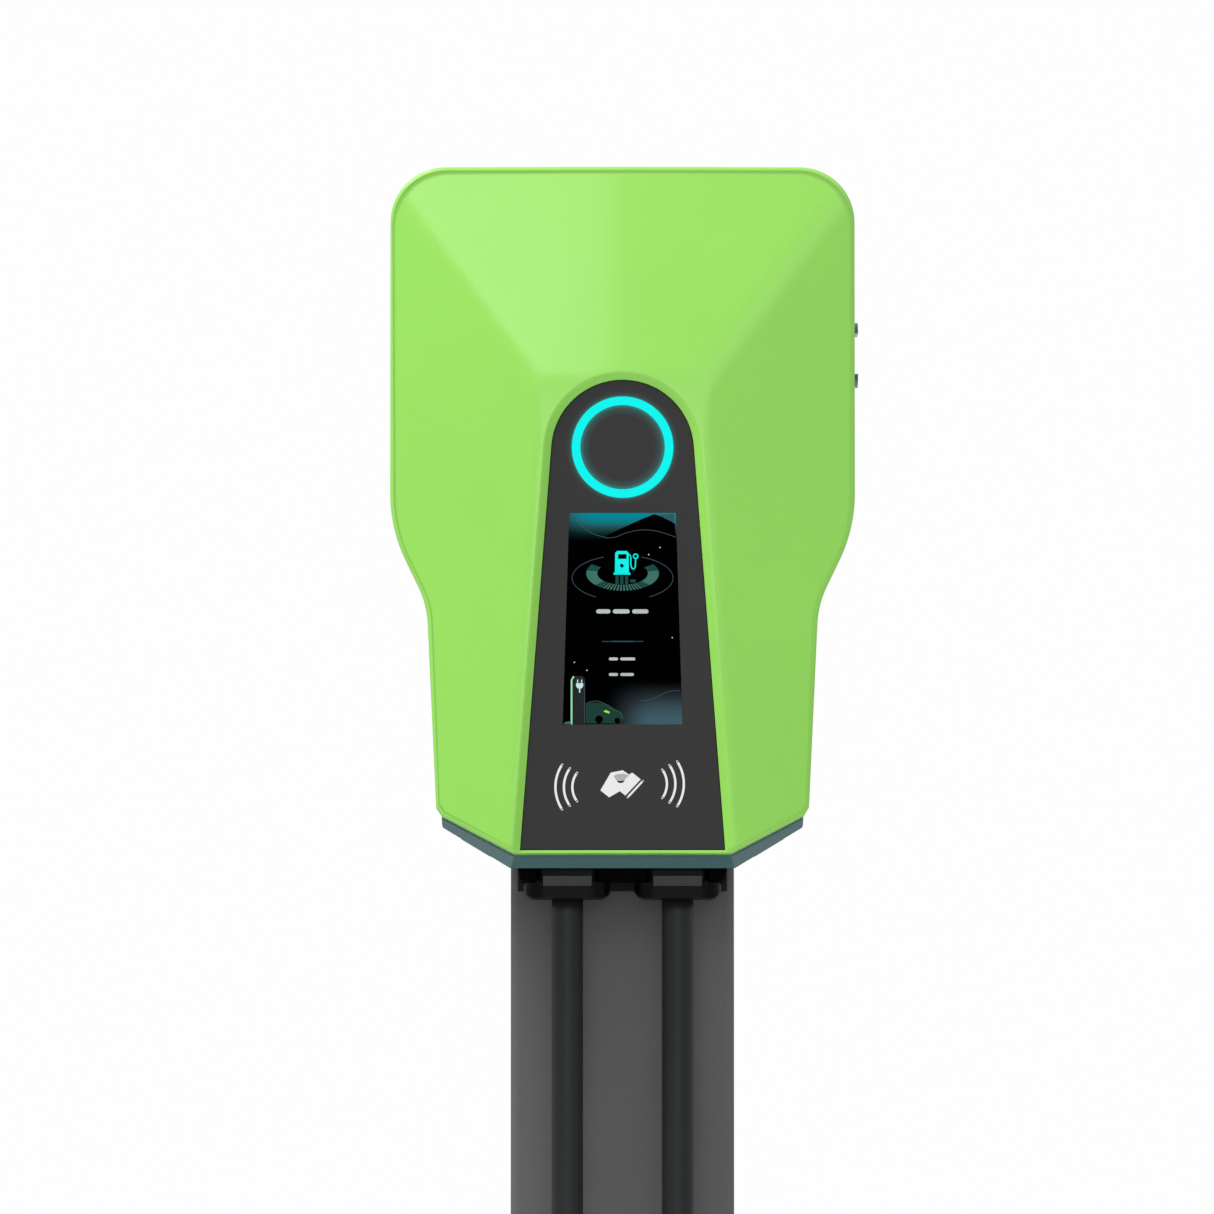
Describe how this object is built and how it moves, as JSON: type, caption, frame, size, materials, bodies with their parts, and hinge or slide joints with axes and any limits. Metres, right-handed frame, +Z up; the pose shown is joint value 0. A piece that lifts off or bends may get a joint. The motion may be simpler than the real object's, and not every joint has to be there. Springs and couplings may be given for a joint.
{
  "type": "electric vehicle charging post",
  "caption": "Floor-standing charging post: grey column, tapered green head with an arched dark panel, light ring and screen, parked charging connectors on cables and a stop button.",
  "frame": {"origin": "centre of the base plate's underside, on the ground", "axes": "+Z up; -Y is the front, with the screen; +X is the side with the stop button"},
  "size_m": [1.012, 0.336, 1.6245],
  "materials": {
    "painted_column": "satin dark grey powder coat",
    "screw_steel": "zinc plated",
    "terminal_orange": "moulded",
    "brass": "turned",
    "black_plastic": "fine grain",
    "shell_teal": "satin gloss, smoky teal",
    "black_rubber": "matt",
    "cover_green": "semi-gloss",
    "panel_dark": "satin",
    "screen_glass": "lit screen",
    "zinc_sheet": "zinc plated sheet",
    "ring_light": "lit cyan",
    "circuit_board": "solder mask",
    "device_white": "moulded",
    "holster_black": "deep black",
    "stem_grey": "moulded",
    "stop_red": "moulded",
    "connector_black": "gloss",
    "insulator_grey": "moulded",
    "cable_rubber": "smooth jacket",
    "tie_black": "hook and loop strap"
  },
  "bodies": {
    "post": {"base_plate": "painted_column", "base_gussets": "painted_column", "column": "painted_column", "column_cap": "painted_column", "service_cover": "painted_column", "service_screws": "screw_steel", "supply_terminals": "terminal_orange", "earth_stud": "brass", "left_cable_gland": "black_plastic", "right_cable_gland": "black_plastic", "rear_shell": "shell_teal", "shell_gasket": "black_rubber", "front_cover": "cover_green", "cover_screws": "screw_steel", "front_panel": "panel_dark", "display_window": "screen_glass", "display_module": "zinc_sheet", "light_ring": "ring_light", "light_board": "circuit_board", "card_reader": "circuit_board", "speaker": "black_plastic", "chassis_plate": "zinc_sheet", "chassis_bolts": "screw_steel", "main_board": "circuit_board", "board_spacers": "brass", "din_rail": "zinc_sheet", "power_supply": "zinc_sheet", "energy_meters": "device_white", "contactors": "black_plastic", "breaker": "device_white", "antenna": "black_plastic", "holster_bracket": "painted_column", "holster_housing": "holster_black", "holster_screws": "screw_steel", "park_switches": "black_plastic", "stop_guard": "shell_teal", "stop_contact_block": "black_plastic", "left_cable_run": "cable_rubber", "left_cable_coil": "cable_rubber", "left_cable_tail": "cable_rubber", "left_cable_ties": "tie_black", "right_cable_run": "cable_rubber", "right_cable_coil": "cable_rubber", "right_cable_tail": "cable_rubber", "right_cable_ties": "tie_black"},
    "left_connector": {"left_connector_shell": "connector_black", "left_connector_contacts": "insulator_grey", "left_cable_grommet": "black_rubber"},
    "left_trigger": {"left_connector_trigger": "stem_grey"},
    "right_connector": {"right_connector_shell": "connector_black", "right_connector_contacts": "insulator_grey", "right_cable_grommet": "black_rubber"},
    "right_trigger": {"right_connector_trigger": "stem_grey"},
    "stop_plunger": {"stop_stem": "stem_grey"},
    "stop_knob": {"stop_button": "stop_red"}
  },
  "joints": [
    {"name": "left_connector_pull", "type": "slide", "parent": "post", "child": "left_connector", "axis": [0, 0, -1], "range_m": [0, 0.12], "deforming": ["left_cable_run"]},
    {"name": "left_trigger_press", "type": "slide", "parent": "left_connector", "child": "left_trigger", "axis": [0, 1, 0], "range_m": [0, 0.004], "stiffness_N_per_m": 300, "springref_m": -0.003},
    {"name": "right_connector_pull", "type": "slide", "parent": "post", "child": "right_connector", "axis": [0, 0, -1], "range_m": [0, 0.12], "deforming": ["right_cable_run"]},
    {"name": "right_trigger_press", "type": "slide", "parent": "right_connector", "child": "right_trigger", "axis": [0, 1, 0], "range_m": [0, 0.004], "stiffness_N_per_m": 300, "springref_m": -0.003},
    {"name": "stop_push", "type": "slide", "parent": "post", "child": "stop_plunger", "axis": [-1, 0, 0], "range_m": [0, 0.004]},
    {"name": "stop_release_turn", "type": "hinge", "parent": "stop_plunger", "child": "stop_knob", "pos_m": [0.167, -0.044, 1.487], "axis": [-1, 0, 0], "range_deg": [0, 45], "stiffness_Nm_per_rad": 0.02}
  ]
}
